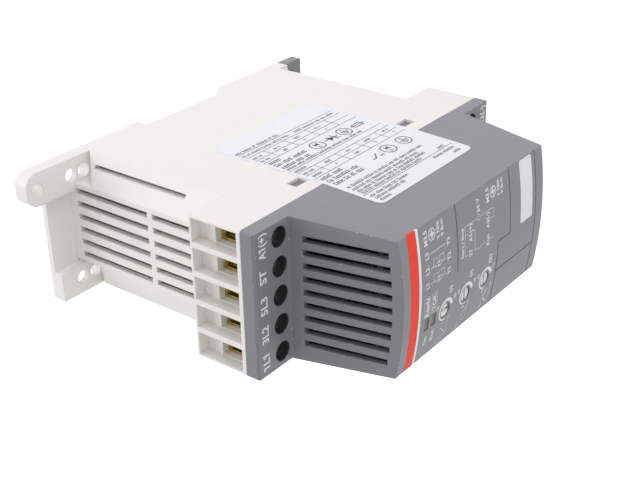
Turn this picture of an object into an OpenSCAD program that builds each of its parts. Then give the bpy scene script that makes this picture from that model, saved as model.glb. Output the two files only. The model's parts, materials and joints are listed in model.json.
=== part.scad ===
// Compact rail-mounted soft starter for a small three-phase motor.
// X runs across the width, the front faces -Y, and Z runs up to the line terminals.
// The origin is the middle of the mounting plane. A depth d is a distance in front of that
// plane, so it lies at y = -d.

/* [Overall] */
// Width across the two flat sides
width = 45; // [44:0.5:48]
// Height from ear tip to ear tip
height = 140; // [136:1:146]
// Depth from the mounting plane to the crown of the front
depth = 114; // [112:0.5:118]

/* [Base housing] */
// Depth of the base, up to the parting line with the cover
base_d = 77; // [76:0.5:78]
// Wall thickness of the base
wall = 1.8; // [1.5:0.1:2]
// Thickness of the back wall
back_t = 2; // [1.6:0.1:2.4]
// Half height of the flat sides
side_half_h = 46; // [45:0.5:47]
// Half height at the vented end walls
vent_half_h = 52; // [51:0.5:53]
// Left edge of the vented end walls, beside the wide slanted faces
ridge_x0 = -11.9; // [-13:0.1:-11.6]
// Right edge of the vented end walls, beside the narrow slanted faces
ridge_x1 = 14.3; // [14:0.1:15]

/* [Vents] */
// Rows of slots in each vented end wall
vent_rows = 6; // [4:1:6]
// Distance between rows
vent_pitch = 4.26; // [4:0.02:4.3]
// Width of a slot
vent_slot_w = 1.8; // [1.4:0.1:2]
// Depth at which the slots start
vent_start_d = 5.2; // [5.2:0.1:6]
// Length of the long slots
vent_long_l = 29.5; // [25:0.5:30]
// Length of the short slots
vent_short_l = 14.4; // [12:0.2:16]
// Bridge between the long and the short slots
vent_bridge_l = 2; // [2:0.5:3]
// Length of the slot in each narrow slanted face
slant_slot_l = 36.7; // [30:0.1:40]
// Width of the slot in each narrow slanted face
slant_slot_w = 1.2; // [1:0.1:1.4]

/* [Ears and feet] */
// Thickness of the ears and feet
ear_t = 5.1; // [4.6:0.1:5.4]
// Width of an ear
ear_w = 10.5; // [10:0.5:11]
// Corner radius of an ear tip
ear_r = 4; // [3:0.5:4.5]
// Half height at the end of the feet
foot_half_h = 61.4; // [60.5:0.2:62]
// Width of a foot
foot_w = 9.5; // [9:0.5:10]
// Diameter of the panel screw holes
hole_dia = 4.3; // [4.1:0.1:4.5]
// Half distance across the panel screw holes
hole_half_w = 17.2; // [17:0.1:17.4]
// Distance from an ear's tip to its outer screw hole
hole_inset = 4; // [3.6:0.1:5]
// Half height of the inner panel screw holes
hole_inner_half_h = 53.2; // [52.5:0.1:54]

/* [Rail seat] */
// Height of the rail's centre above the origin
rail_z = 2; // [1:0.5:3]
// Width of the rail
rail_w = 35; // [35:0.1:35.2]
// Thickness of the rail's flange
rail_flange_t = 1; // [0.9:0.1:1.1]
// Depth of the recess for the rail
rail_recess_d = 4.2; // [4:0.1:4.4]
// Overlap of the hooks behind the rail's flange
hook_overlap = 1.8; // [1.4:0.1:2]
// Thickness of the hooks
hook_t = 2.1; // [1.8:0.1:2.2]
// Thickness of the latch slider
latch_t = 4; // [3.8:0.1:4]
// Left edge of the latch slider
latch_x0 = -4; // [-5:0.5:-3]
// Right edge of the latch slider
latch_x1 = 18; // [17:0.5:18]
// Half height at the end of the latch's pull tab
latch_end_half_h = 59; // [58:0.5:60]
// Length of the pull tab
latch_tab_l = 8.4; // [8:0.1:8.6]
// Travel of the latch
latch_travel = 4.5; // [4:0.5:4.5]

/* [Terminals] */
// Distance between neighbouring terminals
term_pitch = 8.9; // [8.8:0.05:8.95]
// Half height at the ends of the terminal blocks
block_half_h = 60; // [59.5:0.5:60.5]
// Depth at the rear of the terminal blocks
block_rear_d = 59; // [58.5:0.5:59.5]
// Half height of the screw axes
screw_half_h = 49.6; // [49.4:0.1:49.8]
// Width of a wire funnel
funnel_w = 7.1; // [6.9:0.1:7.2]
// Depth of a wire funnel into the block
funnel_l = 3.6; // [3.4:0.1:4]
// Length of a clamp cage along the wire
cage_l = 5.8; // [5.4:0.1:5.8]
// Width of a clamp cage
cage_w = 6.4; // [6.2:0.1:6.4]
// Wall of a clamp cage
cage_wall = 0.9; // [0.8:0.05:0.9]
// Thread wall of a clamp cage
cage_nut_t = 1.4; // [1.3:0.1:1.6]
// Height of the wire space in an open cage
wire_gap = 4.3; // [4.2:0.1:4.4]
// Depth of the rear of the wire space in an open cage
wire_rear_d = 65.7; // [65.6:0.1:65.8]
// Closing travel of a cage
cage_travel = 4; // [3.5:0.1:4]
// Thread diameter of the terminal screws
screw_dia = 3.5; // [3:0.5:3.5]
// Head diameter of the terminal screws
screw_head_dia = 5.4; // [5:0.1:5.6]
// Head thickness of the terminal screws
screw_head_t = 1.8; // [1.6:0.1:2]
// Thickness of the contact bars
bar_t = 0.8; // [0.7:0.1:0.9]
// Width of the contact bars
bar_w = 4.2; // [4:0.1:4.2]

/* [Front cover] */
// Wall thickness of the cover
cover_wall = 2; // [1.8:0.1:2.2]
// Half width of the cover at its front edge
front_half_w = 20.8; // [20.4:0.1:21.2]
// Drop of the crowned front from its middle to its edge
crown_drop = 2; // [1.6:0.1:2.4]
// Depth of the terminal step
step_d = 81.5; // [81:0.5:82]
// Half height at the root of the slotted faces
step_half_h = 45.5; // [45:0.25:46]
// Half height of the front face
front_half_h = 39.2; // [38.8:0.2:39.6]
// Diameter of the screwdriver holes
driver_dia = 6.2; // [6.1:0.1:6.6]
// Bevel on the long edges of the cover
cover_bevel = 0.6; // [0.3:0.1:0.8]
// Slots in each slotted face
cover_slots = 9; // [5:2:9]
// Distance between the cover slots
cover_slot_pitch = 4.05; // [3.8:0.05:4.1]
// Width of a cover slot
cover_slot_w = 1.9; // [1.6:0.1:2.1]
// Gap between the terminal step and the cover slots
cover_slot_gap = 3.8; // [3.4:0.2:4.4]
// Land between the cover slots and the front face
cover_slot_land = 3.1; // [2.8:0.1:3.4]
// Width of a snap window in the side of the base
snap_w = 5.4; // [5:0.2:6]
// Height of a snap window
snap_h = 3.6; // [3.4:0.1:3.8]
// Half height at the middle of the snap windows
snap_half_h = 27.4; // [26:0.5:28]
// Depth of the snap windows
snap_d = 68.7; // [68.5:0.1:69]

/* [Front panel] */
// Height of the upper edge of the accent band
band_z = 35.2; // [34.8:0.2:35.6]
// Width of the accent band
band_w = 4.1; // [3.8:0.1:4.4]
// Width of the accent line below the band
line_w = 1.2; // [1:0.1:1.4]
// Thickness of the band, the line and the marker plate
inlay_t = 0.6; // [0.5:0.1:0.8]
// Width of the panel grooves
groove_w = 0.4; // [0.3:0.05:0.6]
// Depth of the panel grooves
groove_d = 0.5; // [0.3:0.1:0.7]
// Height of the upper groove on the right half
groove_upper_z = 11.4; // [10:0.2:12]
// Height of the lower groove on the right half
groove_lower_z = -18.4; // [-20:0.1:-18]
// Height of the groove along the bottom
groove_bottom_z = -34.2; // [-34.6:0.2:-33.8]
// Height of the marker plate's middle
marker_z = -28.5; // [-29:0.1:-28]
// Height of the marker plate
marker_h = 7.4; // [6.5:0.1:7.6]
// Left end of the marker plate
marker_x0 = 0.5; // [0.5:0.25:2]
// Position of the dials and status lights across the width
dial_x = -9.4; // [-9.6:0.1:-9.2]
// Height of the middle dial
dial_z = 5.8; // [5.4:0.2:6.2]
// Distance between the dials
dial_pitch = 11; // [10.6:0.1:11.2]
// Diameter of a dial knob
knob_dia = 4.2; // [3.8:0.1:4.4]
// Width of a status light
light_w = 3.7; // [3.4:0.1:4]
// Height of a status light
light_h = 2.1; // [1.8:0.1:2.4]
// Height of the lower status light
light_z = 22.9; // [22.6:0.1:23.2]
// Distance between the status lights
light_pitch = 3.6; // [3.4:0.1:3.8]
// Right edge of the plug cover
plug_x1 = -9.5; // [-10:0.25:-9]
// Upper edge of the plug cover
plug_z1 = -11.5; // [-12:0.25:-11]
// Thickness of the plug cover
plug_t = 1.4; // [1.2:0.1:1.4]

/* [Side label] */
// Depth of the label's rear edge
label_rear_d = 35; // [33:1:38]
// Depth of the label's front edge
label_front_d = 97; // [95:1:99]
// Height of the label's upper edge
label_z1 = 24.2; // [23.5:0.1:24.6]
// Height of the label's lower edge
label_z0 = -24.2; // [-24.6:0.1:-23.5]
// Corner radius of the label
label_r = 2.2; // [1:0.2:3]
// Thickness of the label
label_t = 0.15; // [0.1:0.05:0.2]

/* [Inside] */
// Depth at the front of the heat sink
sink_d = 47; // [45:0.5:48]
// Thickness of the heat sink's base
sink_base_t = 5; // [4:0.5:6]
// Fins on the heat sink
sink_fins = 8; // [5:1:8]
// Distance between the fins
sink_pitch = 4.6; // [4.2:0.1:4.7]
// Thickness of a fin
sink_fin_t = 1.4; // [1.2:0.1:1.8]
// Half height of the heat sink
sink_half_h = 43; // [40:0.5:43]
// Height of the thyristor modules over the heat sink
module_h = 8; // [7.5:0.5:8.5]
// Thickness of the circuit boards
board_t = 1.6; // [1.2:0.1:1.6]
// Half height of the power board
power_half_h = 43; // [42:0.5:43.5]
// Distance from the rear of the control board to the crown
control_setback = 10; // [10:0.5:11]
// Half height of the control board
control_half_h = 36; // [35.5:0.5:36]
// Height of the bypass relays over the power board
relay_h = 15.6; // [14:0.2:16]
// Thickness of the trim potentiometers
pot_h = 2.8; // [2.4:0.1:3]

/* [Hidden] */
$fn = 48;
// Contact gap between pieces that touch, gap beside pieces that slide, and the parting line
touch = 0.05;
slip = 0.2;
seam = 0.1;
// Cuts run past the faces that they open
over = 1;

half_w = width / 2;
ear_half_h = height / 2;
sign_of_ends = [1, -1];

// Base housing
bump_d = latch_t + 2 * slip + wall;
slant_h = vent_half_h - side_half_h;
slant_slot_inset = 3.1;
slant_slot_x = half_w - slant_slot_inset;
slant_slot_gap = 5;
slant_slot_d = vent_start_d + slant_slot_gap;
vent_mid_x = (ridge_x0 + ridge_x1) / 2;
rail_clear = 0.5;
rail_lead_in = 1.5;
rail_top_z = rail_z + rail_w / 2 + rail_clear;
rail_bottom_z = rail_z - rail_w / 2;
hook_d = rail_recess_d - rail_flange_t - slip;
hole_outer_half_h = ear_half_h - hole_inset;
// The inner screw hole and its neighbour stand in a thin floor, in front of a pocket
hole_pair_gap = 5;
hole_floor_t = 2.2;
hole_pocket_r = 2;
hole_pocket_end = hole_dia / 2 + 0.5;
corner_wall = 1.2;
// Room for screw heads: a wedge that opens towards the end, cut into the slanted corners
relief_half_h = 45;
relief_top_z = vent_half_h + over;
relief_r = 3;
relief_slope = 1.05;
relief_d = ear_t + relief_slope * (relief_top_z - relief_half_h);
fixed_hook_half_w = 15;

// Latch
latch_d0 = slip;
latch_d1 = latch_d0 + latch_t;
latch_tab_z = -(latch_end_half_h - latch_tab_l);
latch_lip_t = 1.4;
latch_lip_w = 1.4;
latch_lip_z = [-46, -22];
latch_window_x = [5, 9.4];
latch_peg_z = [-43.5, -41];
latch_peg_room = 3.5;
latch_peg_gap = 0.3;
latch_peg_d = 0.6;
spring_closed_l = 9.5;
latch_window_z = [latch_peg_z[0] - latch_peg_room, latch_peg_z[1] + spring_closed_l + latch_travel];
latch_notch_x = [7, latch_x1 + 1.6];
latch_notch_l = 3;
latch_notch_gap = 0.9;
spring_r = 1.6;
spring_wire_r = 0.25;
spring_turns = 9;

// Terminals
terms = [1 : 5];
function term_x(i) = (i - 3) * term_pitch;
chamber_w = cage_w + 2 * slip;
cage_rear_d = wire_rear_d - cage_wall;
bar_rear_d = wire_rear_d + wire_gap;
bar_front_d = bar_rear_d + bar_t;
nut_rear_d = bar_front_d + slip;
nut_front_d = nut_rear_d + cage_nut_t;
head_rear_d = nut_front_d + cage_travel + slip;
head_front_d = head_rear_d + screw_head_t;
chamber_rear_d = cage_rear_d - slip;
chamber_z0 = screw_half_h - cage_l / 2 - slip;
chamber_z1 = screw_half_h + cage_l / 2 + slip;
block_inner_z = chamber_z0 - wall;
chamber_wall = 1.5;
block_r = 0.8;
funnel_front_d = base_d - 1.3;
funnel_rear_d = block_rear_d + 0.8;
block_hollow_d = funnel_rear_d + slip;
funnel_floor_z = block_half_h - funnel_l;
entry_rear_d = wire_rear_d - 0.4;
grip_w = 0.5;
grip_l = 0.3;
driver_slot_w = 0.9;
driver_slot_l = 1;

// Cover
cover_d0 = base_d + seam;
edge_d = depth - crown_drop;
crown_r = (front_half_w * front_half_w + crown_drop * crown_drop) / (2 * crown_drop);
side_slope = (half_w - front_half_w) / (edge_d - base_d);
slot_slope = (step_half_h - front_half_h) / (edge_d - step_d);
function side_x(d) = half_w - side_slope * (d - base_d);
function slot_z(d) = step_half_h - slot_slope * (d - step_d);
function crown_d(x) = depth - crown_r + sqrt(crown_r * crown_r - x * x);
cover_run_out = 6;
collar_wall = 0.8;
collar_d = cover_d0 + 0.1;
guide_dia = 5.7;
snap_arm_t = 1.4;
snap_side_gap = 0.3;
snap_arm_w = snap_w - 2 * snap_side_gap;
snap_nib_t = 1.1;
snap_root_d = [cover_d0 + 0.6, cover_d0 + 3];

// Front panel
line_z = band_z - band_w;
light_zs = [light_z, light_z + light_pitch];
dial_zs = [dial_z + dial_pitch, dial_z, dial_z - dial_pitch];
groove_mid_x = 0.4;
marker_inset = 0.2;
marker_r = 0.8;
plug_inset = 0.5;
plug_rim = 2;
plug_opening = [
    [plug_inset + plug_rim - front_half_w, plug_x1 - plug_rim],
    [groove_bottom_z + plug_rim, plug_z1 - plug_rim]
];
plug_leg_t = 1;
plug_leg_inset = 1;
plug_leg_grip = 0.4;
plug_leg_root = 0.3;
knob_gap = slip;
knob_sunk = 0.4;
knob_slot_w = 0.9;
knob_slot_l = 0.9;
boss_dia = 5;
boss_places = [[-15.5, 33], [15.5, 33], [15.5, -31], [-4.5, -31]];
boss_screw_dia = 2.2;
boss_screw_l = 4;
pot_half_w = 3.3;
pot_shaft_dia = 2.5;
pot_shaft_l = 1.2;
led_w = 3;
led_h = 1.2;
light_sunk = 0.15;
socket_h = 3.2;
socket_wall = 0.8;
socket_inset = 2;

// Inside
control_d = depth - control_setback;
module_d0 = sink_d + touch;
board_d0 = module_d0 + module_h + touch;
board_d1 = board_d0 + board_t;
on_board_d = board_d1 + touch;
control_d1 = control_d + board_t;
on_control_d = control_d1 + touch;
board_half_w = 20;
control_half_w = 18;
module_w = 17;
module_l = 32;
module_screw_x = module_w / 2 + 1;
module_screw_z = module_l / 2 - 3;
module_screw_places = [for (x = [-1, 1], z = [-1, 1]) [x * module_screw_x, z * module_screw_z]];
module_screw_dia = 3;
module_screw_head_dia = 5;
module_screw_head_t = 1.6;
module_screw_bite = 3.8;
relay_w = 13.4;
relay_l = 20;
relay_gap = 1.2;
riser_x = bar_w / 2 + relay_gap + relay_w + 0.4;
riser_t = 1.2;
riser_half_l = 12;
bar_leg_inset = 7;
bar_leg_z = power_half_h - bar_leg_inset;
// Places for parts on the power board, between the module screws and the legs of the bars
row_x = [bar_w / 2 + relay_gap, term_x(5) - bar_w / 2];
row_z = [module_screw_z + module_screw_head_dia, bar_leg_z - 2 * relay_gap];
can_dia = (row_z[1] - row_z[0] - relay_gap) / 2;
can_x = -(row_x[0] + row_x[1]) / 2;
can_zs = [row_z[0] + can_dia / 2, row_z[1] - can_dia / 2];

// A block given by its ranges across the width, in depth and in height
module block(x, d, z) {
    translate([x[0], -d[1], z[0]])
        cube([x[1] - x[0], d[1] - d[0], z[1] - z[0]]);
}

// An outline in Y and Z, drawn along X
module along_x(x0, x1) {
    translate([x0, 0, 0])
        rotate([90, 0, 90])
            linear_extrude(x1 - x0)
                children();
}

// An outline in X and Z, drawn forwards from depth d0 to d1
module along_y(d0, d1) {
    translate([0, -d0, 0])
        rotate([90, 0, 0])
            linear_extrude(d1 - d0)
                children();
}

// A round bar from depth d0 to d1
module rod(x, z, dia, d0, d1) {
    translate([x, -d0, z])
        rotate([90, 0, 0])
            cylinder(d = dia, h = d1 - d0);
}

module both_ends() {
    for (s = sign_of_ends)
        scale_end(s)
            children();
}

module scale_end(s) {
    mirror([0, 0, s > 0 ? 0 : 1])
        children();
}

module both_sides() {
    children();
    mirror([1, 0, 0])
        children();
}

module rounded(x, y, r) {
    translate([x[0] + r, y[0]])
        square([x[1] - x[0] - 2 * r, y[1] - y[0]]);
    translate([x[0], y[0] + r])
        square([x[1] - x[0], y[1] - y[0] - 2 * r]);
    for (px = [x[0] + r, x[1] - r], py = [y[0] + r, y[1] - r])
        translate([px, py])
            circle(r);
}

// Two ends of a slanted corner, moved in by t, for the distance from the middle to its ridge
function slant_ends(ridge, t) =
    let (w = half_w - ridge, l = norm([w, slant_h]))
        [
            [half_w - t, side_half_h - t * (l - slant_h) / w],
            [ridge - t * (l - w) / slant_h, vent_half_h - t]
        ];

// Eight-sided outline of the base seen from the front, moved in by t
module body_plan(t) {
    right = slant_ends(ridge_x1, t);
    left = [for (p = slant_ends(-ridge_x0, t)) [-p[0], p[1]]];
    upper = [right[0], right[1], left[1], left[0]];
    lower = [for (i = [3 : -1 : 0]) [upper[i][0], -upper[i][1]]];
    polygon(concat(upper, lower));
}

// Hollow base with a raised floor behind the rail recess and the latch
module base_shell() {
    bump_z1 = rail_top_z + wall;
    difference() {
        along_y(0, base_d)
            body_plan(0);
        difference() {
            along_y(back_t, base_d + over)
                body_plan(wall);
            block([-half_w, half_w], [0, bump_d], [-vent_half_h, bump_z1]);
        }
    }
}

// Solid of the upper terminal block
module terminal_block() {
    along_y(block_rear_d, base_d)
        difference() {
            rounded([-half_w, half_w], [block_inner_z - 2 * block_r, block_half_h], block_r);
            translate([-half_w - over, block_inner_z - 2 * block_r - over])
                square([width + 2 * over, 2 * block_r + over]);
        }
}

// Hollow behind the chambers of the upper terminal block, open to the inside of the base
module terminal_hollow() {
    inner_x = half_w - wall;
    block([-inner_x, inner_x], [block_hollow_d, chamber_rear_d - chamber_wall],
        [block_inner_z - over, funnel_floor_z - chamber_wall]);
}

// Chamber for a clamp cage, open to the front, with its wire entry, funnel and bar slit
module terminal_cuts() {
    chamber_x = [-chamber_w / 2, chamber_w / 2];
    block(chamber_x, [chamber_rear_d, base_d + over], [chamber_z0, chamber_z1]);
    block(chamber_x, [entry_rear_d, funnel_front_d], [chamber_z1 - over, funnel_floor_z + over]);
    block([-funnel_w / 2, funnel_w / 2], [funnel_rear_d, funnel_front_d],
        [funnel_floor_z, block_half_h + over]);
    block([-bar_w / 2 - slip, bar_w / 2 + slip], [bar_rear_d - touch, base_d + over],
        [block_inner_z - over, chamber_z0 + over]);
}

// Ear with two screw holes, a foot with one, and the thin plate between them
module upper_mounting() {
    ear_x = half_w - ear_w;
    along_y(0, ear_t)
        difference() {
            rounded([ear_x, half_w], [side_half_h - 2 * ear_r, ear_half_h], ear_r);
            translate([0, side_half_h - 2 * ear_r - over])
                square([half_w + over, 2 * ear_r]);
        }
    block([-half_w, -half_w + foot_w], [0, ear_t], [side_half_h - over, foot_half_h]);
    block([-half_w, ear_x + over], [0, back_t], [side_half_h - over, foot_half_h]);
}

// Ear on the left, a plate beside it, and a short foot that leaves room for the latch's tab
module lower_mounting() {
    ear_x = half_w - ear_w;
    along_y(0, ear_t)
        difference() {
            rounded([-half_w, -ear_x], [-ear_half_h, -side_half_h + 2 * ear_r], ear_r);
            translate([-half_w - over, -side_half_h + over])
                square([half_w, 2 * ear_r]);
        }
    block([-ear_x - over, latch_x0 - slip - wall], [0, back_t], [-foot_half_h, -side_half_h]);
    block([half_w - foot_w, half_w], [0, ear_t], [latch_tab_z + slip, -side_half_h + over]);
}

// Room for a screw head in front of an ear, or the solid that closes the housing behind it
module relief_form(inner_x, grow) {
    low = relief_half_h - 2 * grow;
    intersection() {
        along_y(grow > 0 ? 0 : ear_t, relief_d + grow)
            rounded([inner_x - grow, half_w + 2 * relief_r],
                [relief_half_h - grow, ear_half_h + 2 * relief_r], relief_r);
        along_x(0, half_w + over)
            polygon([
                [0, low], [-ear_t, low],
                [-ear_t - relief_slope * (relief_top_z - low), relief_top_z], [0, relief_top_z]
            ]);
    }
}

// Inner screw hole and its neighbour, the pocket behind them and the room for a screw head
module screw_corner_cuts(inner_x, w) {
    zs = [hole_inner_half_h, hole_inner_half_h - hole_pair_gap];
    for (z = zs)
        rod(hole_half_w, z, hole_dia, -over, ear_t + over);
    along_y(-over, ear_t - hole_floor_t)
        rounded([half_w - w + corner_wall, half_w - corner_wall],
            [zs[1] - hole_pocket_end, zs[0] + hole_pocket_end], hole_pocket_r);
    relief_form(inner_x, 0);
}

// Corners with inner screw holes: those of the upper ear, its foot and the lower ear
module screw_corners() {
    screw_corner_cuts(ridge_x1, ear_w);
    mirror([1, 0, 0])
        screw_corner_cuts(-ridge_x0, foot_w);
    rotate([0, 180, 0])
        screw_corner_cuts(-ridge_x0, ear_w);
}

module relief_solids() {
    intersection() {
        union() {
            relief_form(ridge_x1, corner_wall);
            mirror([1, 0, 0])
                relief_form(-ridge_x0, corner_wall);
            rotate([0, 180, 0])
                relief_form(-ridge_x0, corner_wall);
        }
        along_y(0, base_d)
            body_plan(0);
    }
}

module vent_cuts() {
    short_d = vent_start_d + vent_long_l + vent_bridge_l;
    both_ends()
        for (i = [0 : vent_rows - 1])
            translate([vent_mid_x + (i - (vent_rows - 1) / 2) * vent_pitch, 0, 0]) {
                slot = [-vent_slot_w / 2, vent_slot_w / 2];
                through = [vent_half_h - wall - over / 2, vent_half_h + over];
                block(slot, [vent_start_d, vent_start_d + vent_long_l], through);
                block(slot, [short_d, short_d + vent_short_l], through);
            }
    both_ends()
        block([slant_slot_x - slant_slot_w / 2, slant_slot_x + slant_slot_w / 2],
            [slant_slot_d, slant_slot_d + slant_slot_l], [side_half_h - wall, vent_half_h]);
}

// Recess for the rail, with a lead-in on the lower side
module rail_cut() {
    lead_in_z = rail_bottom_z + rail_lead_in;
    along_x(-half_w - over, half_w + over)
        polygon([
            [over, rail_top_z], [-rail_recess_d, rail_top_z],
            [-rail_recess_d, lead_in_z], [over, lead_in_z - rail_recess_d - over]
        ]);
}

// Pocket for the latch, open at the rear, and a cored-out pocket beside it
module latch_cut() {
    block([latch_x0 - slip, latch_x1 + slip], [-over, latch_d1 + slip],
        [-vent_half_h - over, rail_bottom_z + 1]);
    core_z = [-relief_half_h + 2 * wall, rail_bottom_z - 3 * wall];
    core_x = [-half_w + wall, latch_x0 - slip - wall];
    core_mid = (core_x[0] + core_x[1]) / 2;
    block([core_x[0], core_mid - wall / 2], [-over, latch_d1 + slip], core_z);
    block([core_mid + wall / 2, core_x[1]], [-over, latch_d1 + slip], core_z);
}

// Fixed hook above the rail, lips that hold the latch, and the peg that its spring presses on
module rail_hooks() {
    block([-fixed_hook_half_w, fixed_hook_half_w], [hook_d - hook_t, hook_d],
        [rail_top_z - rail_clear - hook_overlap, rail_top_z + touch]);
    block([latch_x0 - slip, latch_x0 - slip + latch_lip_w], [0, latch_lip_t], latch_lip_z);
    block([latch_x1 + slip - latch_lip_w, latch_x1 + slip], [0, latch_lip_t], latch_lip_z);
    block([latch_window_x[0] + latch_peg_gap, latch_window_x[1] - latch_peg_gap],
        [latch_peg_d, latch_d1 + slip + touch], latch_peg_z);
}

module base_housing() {
    color("#e8e6e1") {
        difference() {
            union() {
                base_shell();
                both_ends()
                    terminal_block();
                upper_mounting();
                lower_mounting();
                relief_solids();
            }
            along_y(block_rear_d - over, block_hollow_d + touch)
                body_plan(wall);
            both_ends() {
                terminal_hollow();
                for (i = terms)
                    translate([term_x(i), 0, 0])
                        terminal_cuts();
            }
            vent_cuts();
            rail_cut();
            latch_cut();
            for (s = sign_of_ends)
                rod(s * hole_half_w, s * hole_outer_half_h, hole_dia, -over, ear_t + over);
            screw_corners();
            both_ends()
                both_sides()
                    block([half_w - wall - over, half_w + over], [snap_d, snap_d + snap_h],
                        [snap_half_h - snap_w / 2, snap_half_h + snap_w / 2]);
        }
        rail_hooks();
    }
}

// Round solid whose front is the crown, moved in by t
module crown_solid(t) {
    translate([0, crown_r - depth, 0])
        cylinder(r = crown_r - t, h = 2 * height, center = true, $fn = 180);
}

// Outer form of the cover moved in by t: stepped side profile, tapered plan and crowned front
module cover_form(t, d0) {
    bevel = t > 0 ? 0 : cover_bevel;
    slot_shift = t * sqrt(1 + slot_slope * slot_slope);
    far_d = depth + cover_run_out;
    plate_d = step_d - t;
    upper = [
        [-d0, block_half_h - t],
        [-plate_d + bevel, block_half_h - t],
        [-plate_d, block_half_h - t - bevel],
        [-plate_d, slot_z(plate_d) - slot_shift],
        [-far_d, slot_z(far_d) - slot_shift]
    ];
    lower = [for (i = [len(upper) - 1 : -1 : 0]) [upper[i][0], -upper[i][1]]];
    intersection() {
        along_x(-half_w - over, half_w + over)
            polygon(concat(upper, lower));
        translate([0, 0, -height / 2])
            linear_extrude(height)
                polygon([
                    [side_x(d0) - t, -d0], [side_x(far_d) - t, -far_d],
                    [t - side_x(far_d), -far_d], [t - side_x(d0), -d0]
                ]);
        crown_solid(t);
    }
}

// The cover's outer form with its four outermost edges rounded as on the terminal blocks
module cover_outside() {
    intersection() {
        cover_form(0, cover_d0);
        along_y(cover_d0 - over, depth + over)
            rounded([-half_w, half_w], [-block_half_h, block_half_h], block_r);
    }
}

// Space in front of the crown moved in by t, over a rectangle of the front face
module front_skin(x, z, t) {
    difference() {
        block(x, [edge_d - t - over, depth + over], z);
        crown_solid(t);
    }
}

// Plate that follows the crown over a rectangle of the front face
module front_plate(x, z, t) {
    difference() {
        intersection() {
            block(x, [edge_d - t - over, depth + over], z);
            cover_form(0, cover_d0);
        }
        crown_solid(t);
    }
}

// Form of the marker plate moved in by t, from a distance behind the crown
module marker_form(t, behind) {
    difference() {
        along_y(edge_d - behind - over, depth + over)
            rounded([marker_x0 + t, front_half_w - marker_inset - t],
                [marker_z - marker_h / 2 + t, marker_z + marker_h / 2 - t], marker_r);
        crown_solid(behind);
    }
}

module cover_slot_cuts() {
    both_ends()
        for (i = [0 : cover_slots - 1]) {
            x = (i - (cover_slots - 1) / 2) * cover_slot_pitch;
            block([x - cover_slot_w / 2, x + cover_slot_w / 2],
                [step_d + cover_slot_gap, crown_d(x) - cover_slot_land],
                [front_half_h - 2 * cover_wall, step_half_h + over]);
        }
}

module panel_cuts() {
    full_x = [-half_w, half_w];
    right_x = [groove_mid_x, half_w];
    front_skin(full_x, [line_z - line_w, band_z], inlay_t);
    for (z = [groove_upper_z, groove_lower_z])
        front_skin(right_x, [z - groove_w / 2, z + groove_w / 2], groove_d);
    front_skin(full_x, [groove_bottom_z - groove_w / 2, groove_bottom_z + groove_w / 2], groove_d);
    front_skin([-front_half_w, groove_mid_x], [plug_z1 - groove_w / 2, plug_z1 + groove_w / 2], groove_d);
    front_skin([groove_mid_x - groove_w / 2, groove_mid_x + groove_w / 2],
        [groove_lower_z, plug_z1], groove_d);
    marker_form(0, inlay_t);
    front_skin([-half_w, plug_x1 + groove_w / 2], [groove_bottom_z, plug_z1], plug_t);
    block(plug_opening[0], [control_d1, depth + over], plug_opening[1]);
    for (z = dial_zs)
        rod(dial_x, z, knob_dia + 2 * knob_gap, control_d1, depth + over);
    for (z = light_zs)
        block([dial_x - light_w / 2 - touch, dial_x + light_w / 2 + touch], [control_d1, depth + over],
            [z - light_h / 2 - touch, z + light_h / 2 + touch]);
}

// Arm with a nib that catches in the snap window of the base
module snap_arm() {
    arm_x1 = half_w - wall - slip;
    arm_z = [snap_half_h - snap_arm_w / 2, snap_half_h + snap_arm_w / 2];
    block([arm_x1 - snap_arm_t, arm_x1], [snap_d, snap_root_d[1]], arm_z);
    block([arm_x1 - touch, arm_x1 + snap_nib_t], [snap_d + slip, snap_d + snap_h - slip], arm_z);
    block([arm_x1 - snap_arm_t, half_w - cover_wall], snap_root_d, arm_z);
}

module front_cover() {
    color("#85868a") {
        difference() {
            union() {
                difference() {
                    cover_outside();
                    cover_form(cover_wall, cover_d0 - over);
                }
                both_ends()
                    for (i = terms)
                        rod(term_x(i), screw_half_h, driver_dia + 2 * collar_wall, collar_d, step_d - touch);
                for (p = boss_places)
                    rod(p[0], p[1], boss_dia, on_control_d, crown_d(p[0]) - cover_wall / 2);
                both_ends()
                    both_sides()
                        snap_arm();
            }
            cover_slot_cuts();
            panel_cuts();
            both_ends()
                for (i = terms)
                    rod(term_x(i), screw_half_h, driver_dia, collar_d - over, step_d + over);
            for (p = boss_places)
                rod(p[0], p[1], boss_screw_dia, on_control_d - over, on_control_d + boss_screw_l);
        }
    }
}

// Dark sleeves that guide a screwdriver to the terminal screws
module screw_guides() {
    color("#1c1c1e")
        both_ends()
            for (i = terms)
                translate([term_x(i), 0, 0])
                    difference() {
                        rod(0, screw_half_h, driver_dia - 2 * touch, head_front_d + slip, step_d - touch);
                        rod(0, screw_half_h, guide_dia, head_front_d, step_d + over);
                    }
}

// Slotted screw whose tip stands on the contact bar
module terminal_screw(i) {
    color("silver")
        translate([term_x(i), 0, screw_half_h])
            difference() {
                union() {
                    rod(0, 0, screw_head_dia, head_rear_d, head_front_d);
                    rod(0, 0, screw_dia, bar_front_d + touch, head_rear_d + touch);
                }
                for (turn = [0, 90])
                    rotate([0, turn, 0])
                        block([-screw_head_dia, screw_head_dia],
                            [head_front_d - driver_slot_l, head_front_d + over],
                            [-driver_slot_w / 2, driver_slot_w / 2]);
            }
}

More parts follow.
